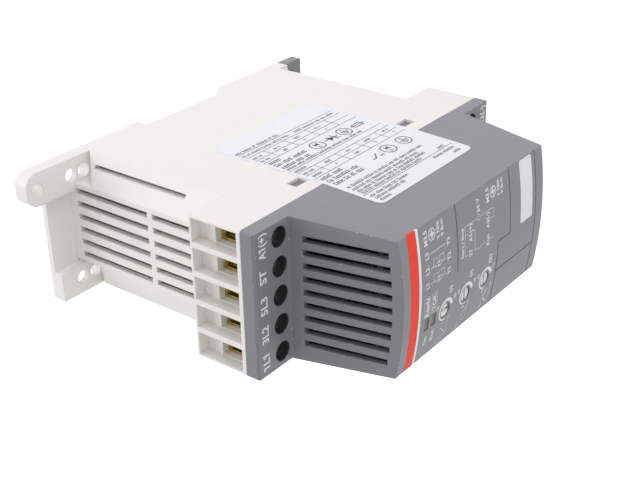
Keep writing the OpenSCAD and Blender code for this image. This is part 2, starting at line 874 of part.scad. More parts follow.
// Strap bent round the contact bar, with a thread wall in front and grip ridges at the rear
module clamp_cage(i) {
    half = cage_w / 2;
    inner = half - cage_wall;
    z = [screw_half_h - cage_l / 2, screw_half_h + cage_l / 2];
    grips = 5;
    color("goldenrod")
        translate([term_x(i), 0, 0])
            difference() {
                block([-half, half], [cage_rear_d, nut_front_d], z);
                block([-inner, inner], [wire_rear_d, nut_rear_d], [z[0] - over, z[1] + over]);
                rod(0, screw_half_h, screw_dia + 2 * touch, nut_rear_d - over, nut_front_d + over);
                for (g = [1 : grips])
                    translate([0, 0, z[0] + g * cage_l / (grips + 1)])
                        block([-inner, inner], [wire_rear_d - grip_l, wire_rear_d + over],
                            [-grip_w / 2, grip_w / 2]);
            }
}

// Tongue through a cage with a leg that stands on the power board
module contact_bar(i) {
    x = [term_x(i) - bar_w / 2, term_x(i) + bar_w / 2];
    block(x, [bar_rear_d, bar_front_d], [bar_leg_z, screw_half_h + cage_l / 2]);
    block(x, [on_board_d, bar_front_d], [bar_leg_z, bar_leg_z + bar_t]);
}

module line_bars() {
    color("peru")
        for (i = [1, 2])
            contact_bar(i);
}

module load_bars() {
    color("peru")
        scale_end(-1)
            for (i = [1, 2])
                contact_bar(i);
}

// The third phase runs straight through
module phase_3_bar() {
    end_z = screw_half_h + cage_l / 2;
    color("peru")
        block([term_x(3) - bar_w / 2, term_x(3) + bar_w / 2], [bar_rear_d, bar_front_d], [-end_z, end_z]);
}

module control_tongues() {
    color("peru")
        both_ends()
            for (i = [4, 5])
                contact_bar(i);
}

// Extruded heat sink whose fins run up behind the vents
module heat_sink() {
    fin_rear_d = bump_d + slip;
    fin_half = (sink_fins - 1) / 2;
    sink_half_w = fin_half * sink_pitch + sink_fin_t / 2;
    color("lightgray")
        difference() {
            union() {
                block([-sink_half_w, sink_half_w], [sink_d - sink_base_t, sink_d],
                    [-sink_half_h, sink_half_h]);
                for (i = [0 : sink_fins - 1])
                    translate([(i - fin_half) * sink_pitch, 0, 0])
                        block([-sink_fin_t / 2, sink_fin_t / 2], [fin_rear_d, sink_d - sink_base_t + touch],
                            [-sink_half_h, sink_half_h]);
            }
            for (p = module_screw_places)
                rod(p[0], p[1], module_screw_dia + 2 * touch, sink_d - module_screw_bite - slip,
                    sink_d + over);
        }
}

// Thyristor module clamped between the heat sink and the power board
module thyristor(side) {
    x = side * module_screw_x;
    color("#2b2b2e")
        difference() {
            block([x - module_w / 2, x + module_w / 2], [module_d0, module_d0 + module_h],
                [-module_l / 2, module_l / 2]);
            for (p = module_screw_places)
                rod(p[0], p[1], module_screw_dia + 2 * slip, module_d0 - over, module_d0 + module_h + over);
        }
}

module power_board() {
    color("darkgreen")
        difference() {
            block([-board_half_w, board_half_w], [board_d0, board_d1], [-power_half_h, power_half_h]);
            for (p = module_screw_places)
                rod(p[0], p[1], module_screw_dia + 2 * slip, board_d0 - over, board_d1 + over);
        }
}

module power_board_screws() {
    head_d = board_d1 + touch;
    color("silver")
        for (p = module_screw_places) {
            rod(p[0], p[1], module_screw_dia, sink_d - module_screw_bite, head_d + touch);
            rod(p[0], p[1], module_screw_head_dia, head_d, head_d + module_screw_head_t);
        }
}

// Relay that bridges a thyristor pair at full speed, between the module's screws
module bypass_relay(side) {
    inner_x = bar_w / 2 + relay_gap;
    x = side > 0 ? [inner_x, inner_x + relay_w] : [-inner_x - relay_w, -inner_x];
    color("#1f4f8f")
        block(x, [on_board_d, on_board_d + relay_h], [-relay_l / 2, relay_l / 2]);
}

// Core of the control supply's transformer with its winding on top
module supply_transformer() {
    core_h = 8;
    winding_h = 3;
    rim = 2;
    color("#3a3a3d")
        block(row_x, [on_board_d, on_board_d + core_h], row_z);
    color("#d8b34a")
        block([row_x[0] + rim, row_x[1] - rim],
            [on_board_d + core_h - touch, on_board_d + core_h + winding_h],
            [row_z[0] + rim, row_z[1] - rim]);
}

module signal_relay() {
    signal_relay_h = 10;
    color("#e0802a")
        block(row_x, [on_board_d, on_board_d + signal_relay_h], [-row_z[1], -row_z[0]]);
}

// Two cans with a sunk top
module filter_capacitors() {
    can_h = 12;
    rim = 1.5;
    color("#26324a")
        for (z = can_zs)
            difference() {
                rod(can_x, z, can_dia, on_board_d, on_board_d + can_h);
                rod(can_x, z, can_dia - 2 * rim, on_board_d + can_h - slip, on_board_d + can_h + over);
            }
}

// Board that links the power board with the control board
module riser_board() {
    color("darkgreen")
        block([riser_x, riser_x + riser_t], [on_board_d, control_d - touch], [-riser_half_l, riser_half_l]);
}

module control_board() {
    color("darkgreen")
        difference() {
            block([-control_half_w, control_half_w], [control_d, control_d1],
                [-control_half_h, control_half_h]);
            for (p = boss_places)
                rod(p[0], p[1], boss_screw_dia + 2 * slip, control_d - over, control_d1 + over);
        }
}

module control_board_screws() {
    head_dia = 4;
    head_t = 1.4;
    color("silver")
        for (p = boss_places) {
            rod(p[0], p[1], head_dia, control_d - touch - head_t, control_d - touch);
            rod(p[0], p[1], boss_screw_dia - 2 * touch, control_d - 2 * touch,
                on_control_d + boss_screw_l - slip);
        }
}

module trim_pots() {
    color("#2f5fae")
        for (z = dial_zs)
            difference() {
                block([dial_x - pot_half_w, dial_x + pot_half_w], [on_control_d, on_control_d + pot_h],
                    [z - pot_half_w, z + pot_half_w]);
                rod(dial_x, z, pot_shaft_dia, on_control_d + pot_h - pot_shaft_l - slip,
                    on_control_d + pot_h + over);
            }
}

// Knob set with a screwdriver, whose slot lies at an angle and whose shaft turns in the potentiometer
module trim_knob(z, angle) {
    front_d = crown_d(dial_x) - knob_sunk;
    rear_d = on_control_d + pot_h + slip;
    color("white")
        translate([dial_x, 0, z])
            difference() {
                union() {
                    rod(0, 0, knob_dia, rear_d, front_d);
                    rod(0, 0, pot_shaft_dia - 2 * touch, rear_d - slip - pot_shaft_l, rear_d + touch);
                }
                rotate([0, angle, 0])
                    block([-knob_dia, knob_dia], [front_d - knob_slot_l, front_d + over],
                        [-knob_slot_w / 2, knob_slot_w / 2]);
            }
}

module status_leds() {
    color("lightgreen")
        for (z = light_zs)
            block([dial_x - led_w / 2, dial_x + led_w / 2], [on_control_d, on_control_d + led_h],
                [z - led_w / 4, z + led_w / 4]);
}

// Light pipe from a status light to its window
module light_pipe(z) {
    color("#4a4b50")
        front_trim([dial_x - light_w / 2, dial_x + light_w / 2], [z - light_h / 2, z + light_h / 2],
            on_control_d + led_h + touch, light_sunk);
}

// Prism that ends a little behind the crown
module front_trim(x, z, d0, sunk) {
    intersection() {
        block(x, [d0, depth], z);
        crown_solid(sunk);
    }
}

// Cover over the plug socket, with two legs that grip the opening
module plug_cover() {
    gap = groove_w / 2;
    x = plug_opening[0];
    z = plug_opening[1];
    color("#85868a") {
        front_plate([-half_w, plug_x1 - gap], [groove_bottom_z + gap, plug_z1 - gap], plug_t - touch);
        for (leg = [[z[0] + slip, z[0] + slip + plug_leg_t], [z[1] - slip - plug_leg_t, z[1] - slip]])
            block([x[0] + plug_leg_inset, x[1] - plug_leg_inset],
                [edge_d - cover_wall - plug_leg_grip, crown_d(x[1]) - plug_t + plug_leg_root], leg);
    }
}

module plug_socket() {
    x = [plug_opening[0][0] + slip, plug_opening[0][1] - slip];
    z = [plug_opening[1][0] + socket_inset, plug_opening[1][1] - socket_inset];
    front_d = on_control_d + socket_h;
    color("#242528")
        difference() {
            block(x, [on_control_d, front_d], z);
            block([x[0] + socket_wall, x[1] - socket_wall], [on_control_d + socket_wall, front_d + over],
                [z[0] + socket_wall, z[1] - socket_wall]);
        }
}

module marker_plate() {
    color("gainsboro")
        intersection() {
            marker_form(touch, inlay_t - touch);
            cover_form(0, cover_d0);
        }
}

module accent_band() {
    color("#e05446")
        front_plate([-half_w, half_w], [line_z + touch, band_z - touch], inlay_t - touch);
}

module accent_line() {
    color("white")
        front_plate([-half_w, half_w], [line_z - line_w + touch, line_z - touch], inlay_t - touch);
}

// Thin label across the parting line on the right side
module side_label() {
    front_x = side_x(label_front_d);
    color("white")
        intersection() {
            along_x(0, width)
                rounded([-label_front_d, -label_rear_d], [label_z0, label_z1], label_r);
            translate([0, 0, label_z0])
                linear_extrude(label_z1 - label_z0)
                    polygon([
                        [half_w, -label_rear_d], [half_w + label_t, -label_rear_d],
                        [half_w + label_t, -base_d], [front_x + label_t, -label_front_d],
                        [front_x, -label_front_d], [half_w, -base_d]
                    ]);
        }
}

// Latch slider with a hook, a spring window and a pull tab
module din_latch() {
    edge_d0 = latch_lip_t + slip;
    edge_w = latch_lip_w + slip;
    top_z = rail_bottom_z - slip;
    hook_x = [latch_x0 + 4, latch_x1 - 4];
    notch_z1 = latch_tab_z - latch_notch_gap;
    color("#5f6367")
        difference() {
            union() {
                block([latch_x0, latch_x1], [edge_d0, latch_d1], [latch_tab_z - touch, top_z]);
                block([latch_x0 + edge_w, latch_x1 - edge_w], [latch_d0, latch_d1],
                    [latch_tab_z - touch, top_z]);
                block([latch_x0, half_w], [latch_d0, latch_d1], [-latch_end_half_h, latch_tab_z]);
                along_x(hook_x[0], hook_x[1])
                    polygon([
                        [-hook_d, top_z - touch], [-hook_d, top_z + hook_overlap],
                        [-hook_d + 0.5, top_z + hook_overlap], [-hook_d + hook_t, top_z - touch]
                    ]);
            }
            block(latch_window_x, [-over, latch_d1 + over], latch_window_z);
            block(latch_notch_x, [-over, latch_d1 + over], [notch_z1 - latch_notch_l, notch_z1]);
        }
}

// Wire of round section swept along a helix about Z
function helix_point(a, pitch) = [spring_r * cos(a), spring_r * sin(a), pitch * a / 360];
function helix_ring(a, pitch, sides) = [
    for (k = [0 : sides - 1])
        let (b = 360 * k / sides, r = spring_wire_r)
            helix_point(a, pitch) + [r * cos(b) * cos(a), r * cos(b) * sin(a), r * sin(b)]
];

module helix(turns, pitch) {
    steps = 12;
    sides = 6;
    rings = turns * steps;
    points = [for (i = [0 : rings]) each helix_ring(i * 360 / steps, pitch, sides)];
    walls = [
        for (i = [0 : rings - 1], k = [0 : sides - 1])
            [i * sides + k, i * sides + (k + 1) % sides,
                (i + 1) * sides + (k + 1) % sides, (i + 1) * sides + k]
    ];
    first = [for (k = [sides - 1 : -1 : 0]) k];
    last = [for (k = [0 : sides - 1]) rings * sides + k];
    polyhedron(points, concat([first], walls, [last]));
}

module latch_spring() {
    z0 = latch_peg_z[1] + spring_wire_r + touch;
    z1 = latch_window_z[1] - spring_wire_r - touch;
    color("gray")
        translate([(latch_window_x[0] + latch_window_x[1]) / 2, -(latch_d0 + latch_d1) / 2, z0])
            helix(spring_turns, (z1 - z0) / spring_turns);
}

base_housing();
front_cover();
screw_guides();
for (i = terms) terminal_screw(i);
for (i = terms) scale_end(-1) terminal_screw(i);
for (i = terms) clamp_cage(i);
for (i = terms) scale_end(-1) clamp_cage(i);
line_bars();
load_bars();
phase_3_bar();
control_tongues();
heat_sink();
thyristor(-1);  // thyristor_1
thyristor(1);  // thyristor_2
power_board();
power_board_screws();
bypass_relay(-1);  // bypass_relay_1
bypass_relay(1);  // bypass_relay_2
supply_transformer();
signal_relay();
filter_capacitors();
riser_board();
control_board();
control_board_screws();
trim_pots();
trim_knob(dial_zs[0], 90);  // trim_knob_1
trim_knob(dial_zs[1], 0);  // trim_knob_2
trim_knob(dial_zs[2], 0);  // trim_knob_3
status_leds();
light_pipe(light_zs[0]);  // light_pipe_1
light_pipe(light_zs[1]);  // light_pipe_2
plug_cover();
plug_socket();
marker_plate();
accent_band();
accent_line();
side_label();
din_latch();
latch_spring();
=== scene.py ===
"""Looks of the soft starter: finishes, print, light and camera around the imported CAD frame."""

import json
import math
import random

import bmesh
import bpy
from mathutils import Matrix, Vector


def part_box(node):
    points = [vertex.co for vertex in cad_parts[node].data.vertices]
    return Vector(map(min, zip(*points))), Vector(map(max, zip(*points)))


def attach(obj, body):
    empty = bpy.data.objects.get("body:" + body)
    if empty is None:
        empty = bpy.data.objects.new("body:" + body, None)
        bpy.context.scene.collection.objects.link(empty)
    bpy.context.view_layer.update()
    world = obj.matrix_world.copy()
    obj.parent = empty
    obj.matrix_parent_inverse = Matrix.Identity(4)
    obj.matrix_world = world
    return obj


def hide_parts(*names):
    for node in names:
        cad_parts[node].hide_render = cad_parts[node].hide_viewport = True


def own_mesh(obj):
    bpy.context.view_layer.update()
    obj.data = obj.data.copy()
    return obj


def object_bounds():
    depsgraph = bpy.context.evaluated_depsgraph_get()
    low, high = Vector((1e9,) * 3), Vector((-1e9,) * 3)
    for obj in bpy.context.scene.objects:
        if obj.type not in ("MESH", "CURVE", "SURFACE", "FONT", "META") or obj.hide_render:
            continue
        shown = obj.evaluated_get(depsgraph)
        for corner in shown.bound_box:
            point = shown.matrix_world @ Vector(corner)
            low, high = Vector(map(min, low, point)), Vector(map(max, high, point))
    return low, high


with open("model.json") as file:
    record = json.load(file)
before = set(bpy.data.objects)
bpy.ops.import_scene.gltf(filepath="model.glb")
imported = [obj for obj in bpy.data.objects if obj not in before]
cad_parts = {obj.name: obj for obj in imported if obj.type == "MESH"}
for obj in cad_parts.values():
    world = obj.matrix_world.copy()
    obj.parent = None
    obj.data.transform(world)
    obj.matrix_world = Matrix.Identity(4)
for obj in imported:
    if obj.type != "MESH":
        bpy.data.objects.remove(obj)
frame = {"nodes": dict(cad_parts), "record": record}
cad_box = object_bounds()

MM = 0.001

# Sizes of the part in millimetres, as in its source
HALF_W = 22.5
DEPTH = 114.0
BASE_D = 77.0
EDGE_D = 112.0
FRONT_HALF_W = 20.8
STEP_D = 81.5
CROWN_R = (FRONT_HALF_W ** 2 + (DEPTH - EDGE_D) ** 2) / (2 * (DEPTH - EDGE_D))
TERM_PITCH = 8.9
LABEL_T = 0.15
DIAL_X = -9.4
DIAL_ZS = (16.8, 5.8, -5.2)

# Height of printed film over the face that carries it
LIFT = 0.03

# Lip of a clamp cage in its wire entry
LIP_HALF_W = 3.15
LIP_LEG = 0.6
LIP_REAR_D = 65.4
LIP_REAR_WALL = 0.25
LIP_FRONT_D = 71.3
LIP_REACH = 1.6
LIP_LAP = 0.05
LIP_RIDGES = 3
LIP_RIDGE_H = 0.2
# Four-sided faces that close an end of the lip, as places along its outline
LIP_CAPS = ((0, 1, 8, 11), (1, 2, 7, 8), (2, 3, 4, 7), (4, 5, 6, 7), (8, 9, 10, 11))

# Grain of moulded plastic and ripple of film
GRAIN = 0.35
GRAIN_DEPTH = 0.01
RIPPLE_DEPTH = 0.006

# Copper tracks of a circuit board
TRACK_L = 5.0
TRACK_PITCH = 1.3
TRACK_GAP = 0.25

# Rays that find how an edge is rounded
BEVEL_SAMPLES = 6

# Places of the colour sockets on a Mix node
MIX_FACTOR = 0
MIX_FIRST = 6
MIX_SECOND = 7
MIX_RESULT = 2


class Finish:
    """A procedural material whose pattern lies in the part's own coordinates, in metres."""

    def __init__(self, name):
        self.material = bpy.data.materials.new(name)
        self.material.use_nodes = True
        self.nodes = self.material.node_tree.nodes
        self.links = self.material.node_tree.links
        self.nodes.clear()
        out = self.nodes.new("ShaderNodeOutputMaterial")
        self.shader = self.nodes.new("ShaderNodeBsdfPrincipled")
        self.links.new(self.shader.outputs["BSDF"], out.inputs["Surface"])
        self.place = self.nodes.new("ShaderNodeTexCoord").outputs["Object"]

    def set(self, **values):
        for name, value in values.items():
            self.shader.inputs[name.replace("_", " ")].default_value = value

    def feed(self, socket, value):
        self.links.new(value, self.shader.inputs[socket])

    def stretched(self, scale):
        node = self.nodes.new("ShaderNodeMapping")
        node.inputs["Scale"].default_value = scale
        self.links.new(self.place, node.inputs["Vector"])
        return node.outputs["Vector"]

    def noise(self, size_mm, detail=3.0, roughness=0.55, along=None):
        node = self.nodes.new("ShaderNodeTexNoise")
        node.inputs["Scale"].default_value = 1.0 / (size_mm * MM)
        node.inputs["Detail"].default_value = detail
        node.inputs["Roughness"].default_value = roughness
        self.links.new(self.stretched(along) if along else self.place, node.inputs["Vector"])
        return node.outputs["Fac"]

    def span(self, value, low, high, to_low=0.0, to_high=1.0):
        node = self.nodes.new("ShaderNodeMapRange")
        node.clamp = True
        limits = {"From Min": low, "From Max": high, "To Min": to_low, "To Max": to_high}
        for name, number in limits.items():
            node.inputs[name].default_value = number
        self.links.new(value, node.inputs["Value"])
        return node.outputs["Result"]

    def mix(self, factor, first, second):
        node = self.nodes.new("ShaderNodeMix")
        node.data_type = "RGBA"
        self.links.new(factor, node.inputs[MIX_FACTOR])
        for place, value in ((MIX_FIRST, first), (MIX_SECOND, second)):
            if isinstance(value, bpy.types.NodeSocket):
                self.links.new(value, node.inputs[place])
            else:
                node.inputs[place].default_value = (*value, 1.0)
        return node.outputs[MIX_RESULT]

    def times(self, first, second):
        node = self.nodes.new("ShaderNodeMath")
        node.operation = "MULTIPLY"
        self.links.new(first, node.inputs[0])
        self.links.new(second, node.inputs[1])
        return node.outputs[0]

    def rounded(self, radius_mm):
        node = self.nodes.new("ShaderNodeBevel")
        node.samples = BEVEL_SAMPLES
        node.inputs["Radius"].default_value = radius_mm * MM
        return node.outputs["Normal"]

    def bump(self, height, depth_mm, normal=None):
        node = self.nodes.new("ShaderNodeBump")
        node.inputs["Strength"].default_value = 1.0
        node.inputs["Distance"].default_value = depth_mm * MM
        self.links.new(height, node.inputs["Height"])
        if normal is not None:
            self.links.new(normal, node.inputs["Normal"])
        return node.outputs["Normal"]

    def edges(self, rounded_normal, reach):
        """1 along edges, 0 on flats: how far the rounded normal turns from the true one."""
        true_normal = self.nodes.new("ShaderNodeNewGeometry").outputs["True Normal"]
        node = self.nodes.new("ShaderNodeVectorMath")
        node.operation = "DOT_PRODUCT"
        self.links.new(rounded_normal, node.inputs[0])
        self.links.new(true_normal, node.inputs[1])
        return self.span(node.outputs["Value"], 1.0, 1.0 - reach)


def tint(colour, factor):
    return tuple(min(1.0, c * factor) for c in colour)


def plastic(name, colour, rough=0.5, edge_mm=0.3, edge_highlight_gain=1.12, mottle=0.02, ior=1.5, edge_glints=0.0):
    """Moulded plastic: spark-eroded grain and slight mottling, with a painted highlight along the edges
    and, if asked, painted glints on them.
    """
    f = Finish(name)
    normal = f.rounded(edge_mm)
    cloud = f.span(f.noise(14.0, detail=4.0, roughness=0.6), 0.3, 0.7)
    body = f.mix(cloud, tint(colour, 1.0 - mottle), tint(colour, 1.0 + mottle))
    # Painted highlight: a patchy paler colour along the rounded edges
    edge_highlight = f.times(f.edges(normal, reach=0.3), f.span(f.noise(2.5), 0.35, 0.65, 0.3, 1.0))
    skin = f.mix(edge_highlight, body, tint(colour, edge_highlight_gain))
    # Painted glints: bright spots along the rounded edges
    if edge_glints:
        glint_spots = f.span(f.noise(0.9, detail=1.0), 0.66, 0.7, 0.0, edge_glints)
        skin = f.mix(f.times(f.edges(normal, reach=0.1), glint_spots), skin, tint(colour, 3.0))
    f.feed("Base Color", skin)
    f.feed("Roughness", f.span(f.noise(1.2, detail=4.0), 0.3, 0.7, rough - 0.05, rough + 0.05))
    f.feed("Normal", f.bump(f.noise(GRAIN, detail=2.0), GRAIN_DEPTH, normal))
    f.set(IOR=ior)
    return f.material


def metal(name, colour, rough, along, depth_mm=0.01, edge_mm=0.15):
    """Drawn or stamped metal with fine marks along one direction and a patchy surface film."""
    f = Finish(name)
    normal = f.rounded(edge_mm)
    patches = f.noise(1.6, detail=4.0, roughness=0.6)
    f.feed("Base Color", f.mix(f.span(patches, 0.35, 0.65), tint(colour, 0.82), tint(colour, 1.08)))
    f.feed("Roughness", f.span(patches, 0.3, 0.7, rough + 0.12, rough - 0.06))
    f.feed("Normal", f.bump(f.noise(0.2, detail=2.0, roughness=0.5, along=along), depth_mm, normal))
    f.set(Metallic=1.0)
    return f.material


def circuit_board(name, colour):
    """Solder mask over copper tracks that run in two directions."""
    f = Finish(name)
    tracks = f.nodes.new("ShaderNodeTexBrick")
    tracks.inputs["Scale"].default_value = 1.0
    tracks.inputs["Brick Width"].default_value = TRACK_L * MM
    tracks.inputs["Row Height"].default_value = TRACK_PITCH * MM
    tracks.inputs["Mortar Size"].default_value = TRACK_GAP * MM
    tracks.inputs["Color1"].default_value = (*colour, 1.0)
    tracks.inputs["Color2"].default_value = (*tint(colour, 1.25), 1.0)
    tracks.inputs["Mortar"].default_value = (*tint(colour, 1.9), 1.0)
    turn = f.nodes.new("ShaderNodeMapping")
    turn.inputs["Rotation"].default_value = (math.pi / 2, 0.0, 0.0)
    f.links.new(f.place, turn.inputs["Vector"])
    f.links.new(turn.outputs["Vector"], tracks.inputs["Vector"])
    f.feed("Base Color", tracks.outputs["Color"])
    f.feed("Roughness", f.span(f.noise(0.8), 0.3, 0.7, 0.28, 0.42))
    f.feed("Normal", f.bump(tracks.outputs["Fac"], 0.03))
    return f.material


def lens(name, colour, rough, transmission):
    """Moulded light pipe with slight flow lines."""
    f = Finish(name)
    flow = f.noise(0.6, detail=2.0, roughness=0.5, along=(1.0, 0.25, 1.0))
    f.feed("Base Color", f.mix(f.span(flow, 0.3, 0.7), tint(colour, 0.92), tint(colour, 1.08)))
    f.feed("Roughness", f.span(flow, 0.3, 0.7, rough, rough + 0.08))
    f.feed("Normal", f.bump(flow, 0.004, f.rounded(0.15)))
    f.set(Transmission_Weight=transmission, IOR=1.49)
    return f.material


def film(name, colour, rough, ior=1.45):
    """Printed or laminated film: fine ripple and an even satin."""
    f = Finish(name)
    cloud = f.span(f.noise(6.0), 0.3, 0.7)
    f.feed("Base Color", f.mix(cloud, tint(colour, 0.985), tint(colour, 1.0)))
    f.feed("Roughness", f.span(f.noise(2.0), 0.3, 0.7, rough - 0.04, rough + 0.04))
    f.feed("Normal", f.bump(f.noise(1.5, detail=2.0), RIPPLE_DEPTH, f.rounded(0.1)))
    f.set(IOR=ior)
    return f.material


def ink(name, colour):
    """Pad-printed ink, a little thinner in places."""
    f = Finish(name)
    thin = f.noise(0.4)
    f.feed("Base Color", f.mix(f.span(thin, 0.3, 0.75), tint(colour, 0.86), colour))
    f.feed("Roughness", f.span(thin, 0.3, 0.7, 0.5, 0.6))
    return f.material


# A finish for each material slot of the record
FINISHES = {
    "light_plastic": plastic("light_moulding", (0.862, 0.844, 0.81), 0.5, edge_highlight_gain=1.03, mottle=0.008),
    "grey_plastic": plastic("grey_moulding", (0.234, 0.237, 0.254), 0.46, edge_mm=0.4, edge_highlight_gain=1.2,
                            ior=1.45, edge_glints=1.0),
    "latch_plastic": plastic("latch_moulding", (0.2, 0.22, 0.22), 0.5),
    "black_plastic": plastic("black_moulding", (0.025, 0.025, 0.027), 0.42),
    "white_plastic": plastic("white_moulding", (0.84, 0.84, 0.8), 0.38, edge_mm=0.15, edge_highlight_gain=1.03),
    "marker_plastic": plastic("marker_moulding", (0.83, 0.83, 0.835), 0.4, edge_mm=0.15, edge_highlight_gain=1.03,
                              mottle=0.01),
    "red_print": film("red_band", (0.93, 0.065, 0.035), 0.5, ior=1.25),
    "white_print": film("white_line", (0.9, 0.9, 0.9), 0.42),
    "label_film": film("label", (0.84, 0.85, 0.885), 0.4),
    "clear_lens": lens("clear_lens", (0.75, 0.85, 0.75), 0.2, 0.6),
    "smoked_lens": lens("smoked_lens", (0.03, 0.031, 0.033), 0.22, 0.0),
    "board": circuit_board("board", (0.02, 0.12, 0.05)),
    "zinc_steel": metal("zinc", (0.62, 0.61, 0.58), 0.32, (1.0, 1.0, 0.15)),
    "spring_steel": metal("spring_wire", (0.5, 0.5, 0.5), 0.3, (0.2, 1.0, 1.0), 0.005, 0.05),
    "brass": metal("passivated_strap", (0.55, 0.42, 0.14), 0.3, (0.15, 1.0, 1.0)),
    "copper": metal("tinned_copper", (0.7, 0.42, 0.27), 0.35, (1.0, 1.0, 0.1)),
    "aluminium": metal("extrusion", (0.72, 0.72, 0.73), 0.36, (1.0, 1.0, 0.05)),
}
# Nodes whose finish differs from that of their slot
OWN_FINISHES = {
    "bypass_relay_1": plastic("relay_case", (0.03, 0.075, 0.2), 0.3),
    "signal_relay": plastic("signal_relay_case", (0.55, 0.2, 0.04), 0.35),
    "filter_capacitors": film("capacitor_sleeve", (0.03, 0.04, 0.075), 0.28),
    "trim_pots": plastic("pot_case", (0.035, 0.1, 0.32), 0.4),
    "supply_transformer": plastic("transformer_core", (0.05, 0.045, 0.04), 0.55),
}
OWN_FINISHES["bypass_relay_2"] = OWN_FINISHES["bypass_relay_1"]
WHITE_INK = ink("white_ink", (0.93, 0.93, 0.93))
DARK_INK = ink("dark_ink", (0.1, 0.1, 0.105))

for part in frame["record"]["subparts"]:
    node = part["node"]
    mesh = frame["nodes"][node].data
    mesh.materials.clear()
    mesh.materials.append(OWN_FINISHES.get(node, FINISHES[part["material_slot"]]))


# Faces that carry print, from u and v in millimetres to a place in metres

def crown_d(x):
    return DEPTH - CROWN_R + math.sqrt(CROWN_R ** 2 - x * x)


def side_x(d):
    taper = (HALF_W - FRONT_HALF_W) / (EDGE_D - BASE_D)
    return HALF_W - taper * max(0.0, d - BASE_D)


def on_front(u, v):
    return (u * MM, -(crown_d(u) + LIFT) * MM, v * MM)


def on_terminal_plate(u, v):
    return (u * MM, -(STEP_D + LIFT) * MM, v * MM)


def on_label(u, v):
    """u runs to -Z and v is minus the depth, so that rows read from the line end."""
    return ((side_x(-v) + LABEL_T + LIFT) * MM, v * MM, -u * MM)


# Letters, for a font of size 1
FONT_STEPS = 3
FONT_BOLD = 0.026
FLAG_W = 0.17
FLAG_TIP_TOP = 0.12
FLAG_TIP_LOW = 0.24
FLAG_ROOT_LOW = 0.13


def font_faces(words):
    """Outlines of words as flat faces."""
    curve = bpy.data.curves.new("words", "FONT")
    curve.body = words
    curve.resolution_u = FONT_STEPS
    curve.offset = FONT_BOLD
    holder = bpy.data.objects.new("words", curve)
    bpy.context.scene.collection.objects.link(holder)
    graph = bpy.context.evaluated_depsgraph_get()
    mesh = bpy.data.meshes.new_from_object(holder.evaluated_get(graph))
    points = [(v.co.x, v.co.y) for v in mesh.vertices]
    faces = [[points[i] for i in p.vertices] for p in mesh.polygons]
    bpy.data.objects.remove(holder)
    bpy.data.curves.remove(curve)
    bpy.data.meshes.remove(mesh)
    return faces


CAP = max(p[1] for face in font_faces("H") for p in face)
ONE_US = [p[0] for face in font_faces("1") for p in face]
ONE_W = max(ONE_US) - min(ONE_US)


def lettering(words):
    """Faces of words, with a flag on each figure one, which the font draws as a bare stroke."""
    faces = font_faces(words)
    for i, letter in enumerate(words):
        if letter == "1":
            right = max(p[0] for face in font_faces(words[:i + 1]) for p in face)
            left = right - ONE_W
            tip = left - FLAG_W
            faces.append([(left, CAP), (tip, CAP - FLAG_TIP_TOP), (tip, CAP - FLAG_TIP_LOW),
                          (left, CAP - FLAG_ROOT_LOW)])
    return faces


class Print:
    """Flat marks in a face's own u and v, in millimetres, laid on it as one film of ink."""

    # A line is laid in stretches of about this length, so that it follows its face
    STEP = 2.0

    def __init__(self):
        self.faces = []

    def face(self, points):
        area = sum(a[0] * b[1] - b[0] * a[1] for a, b in zip(points, points[1:] + points[:1]))
        self.faces.append(points if area > 0 else points[::-1])

    def line(self, points, width=0.2):
        for a, b in zip(points, points[1:]):
            length = math.dist(a, b)
            du, dv = (b[0] - a[0]) / length, (b[1] - a[1]) / length
            count = max(1, math.ceil(length / self.STEP))
            h = width / 2
            start, reach = -h, (length + width) / count
            for i in range(count):
                s, e = start + i * reach, start + (i + 1) * reach
                self.face([(a[0] + du * s - dv * h, a[1] + dv * s + du * h),
                           (a[0] + du * e - dv * h, a[1] + dv * e + du * h),
                           (a[0] + du * e + dv * h, a[1] + dv * e - du * h),
                           (a[0] + du * s + dv * h, a[1] + dv * s - du * h)])

    def bar(self, u0, v0, u1, v1):
        self.line([(u0, (v0 + v1) / 2), (u1, (v0 + v1) / 2)], abs(v1 - v0))

    def frame(self, u0, v0, u1, v1, width):
        self.line([(u0, v0), (u1, v0), (u1, v1), (u0, v1), (u0, v0)], width)

    def arc(self, u, v, inner, outer, start, end, steps=40):
        """A band from one angle to another, with radii given as pairs for its two ends."""
        rim = []
        for i in range(steps + 1):
            t = i / steps
            a = math.radians(start + (end - start) * t)
            r0 = inner[0] + (inner[1] - inner[0]) * t
            r1 = outer[0] + (outer[1] - outer[0]) * t
            rim.append(((u + r0 * math.cos(a), v + r0 * math.sin(a)),
                        (u + r1 * math.cos(a), v + r1 * math.sin(a))))
        for (a0, a1), (b0, b1) in zip(rim, rim[1:]):
            self.face([a0, a1, b1, b0])

    def ring(self, u, v, radius, width):
        self.arc(u, v, (radius - width, radius - width), (radius, radius), 0.0, 360.0, 28)

    def text(self, words, u, v, cap, width=None):
        """Words centred on a point, with a given height of capitals and, if asked, a given width."""
        faces = lettering(words)
        us = [p[0] for face in faces for p in face]
        low, high = min(us), max(us)
        tall = cap / CAP
        wide = width / (high - low) if width else tall
        middle = (low + high) / 2
        for face in faces:
            self.face([(u + (p[0] - middle) * wide, v + (p[1] - CAP / 2) * tall) for p in face])

    def lay(self, name, place, material):
        points, faces = [], []
        for face in self.faces:
            faces.append(range(len(points), len(points) + len(face)))
            points.extend(place(*p) for p in face)
        mesh = bpy.data.meshes.new(name)
        mesh.from_pydata(points, [], [list(f) for f in faces])
        mesh.materials.append(material)
        piece = bpy.data.objects.new(name, mesh)
        bpy.context.scene.collection.objects.link(piece)
        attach(piece, "housing")


# Widths of printed lines
FINE_LINE = 0.14
THIN_LINE = 0.16
WIRE_LINE = 0.17
FIELD_LINE = 0.2
RULE_LINE = 0.22
GATE_LINE = 0.36
EARTH_RING = 0.38
SYMBOL_LINE = 0.4
CONTACT_LINE = 0.42

# Heights of printed capitals
WORD_CAP = 1.6
STATUS_CAP = 1.7
TERMINAL_CAP = 2.7

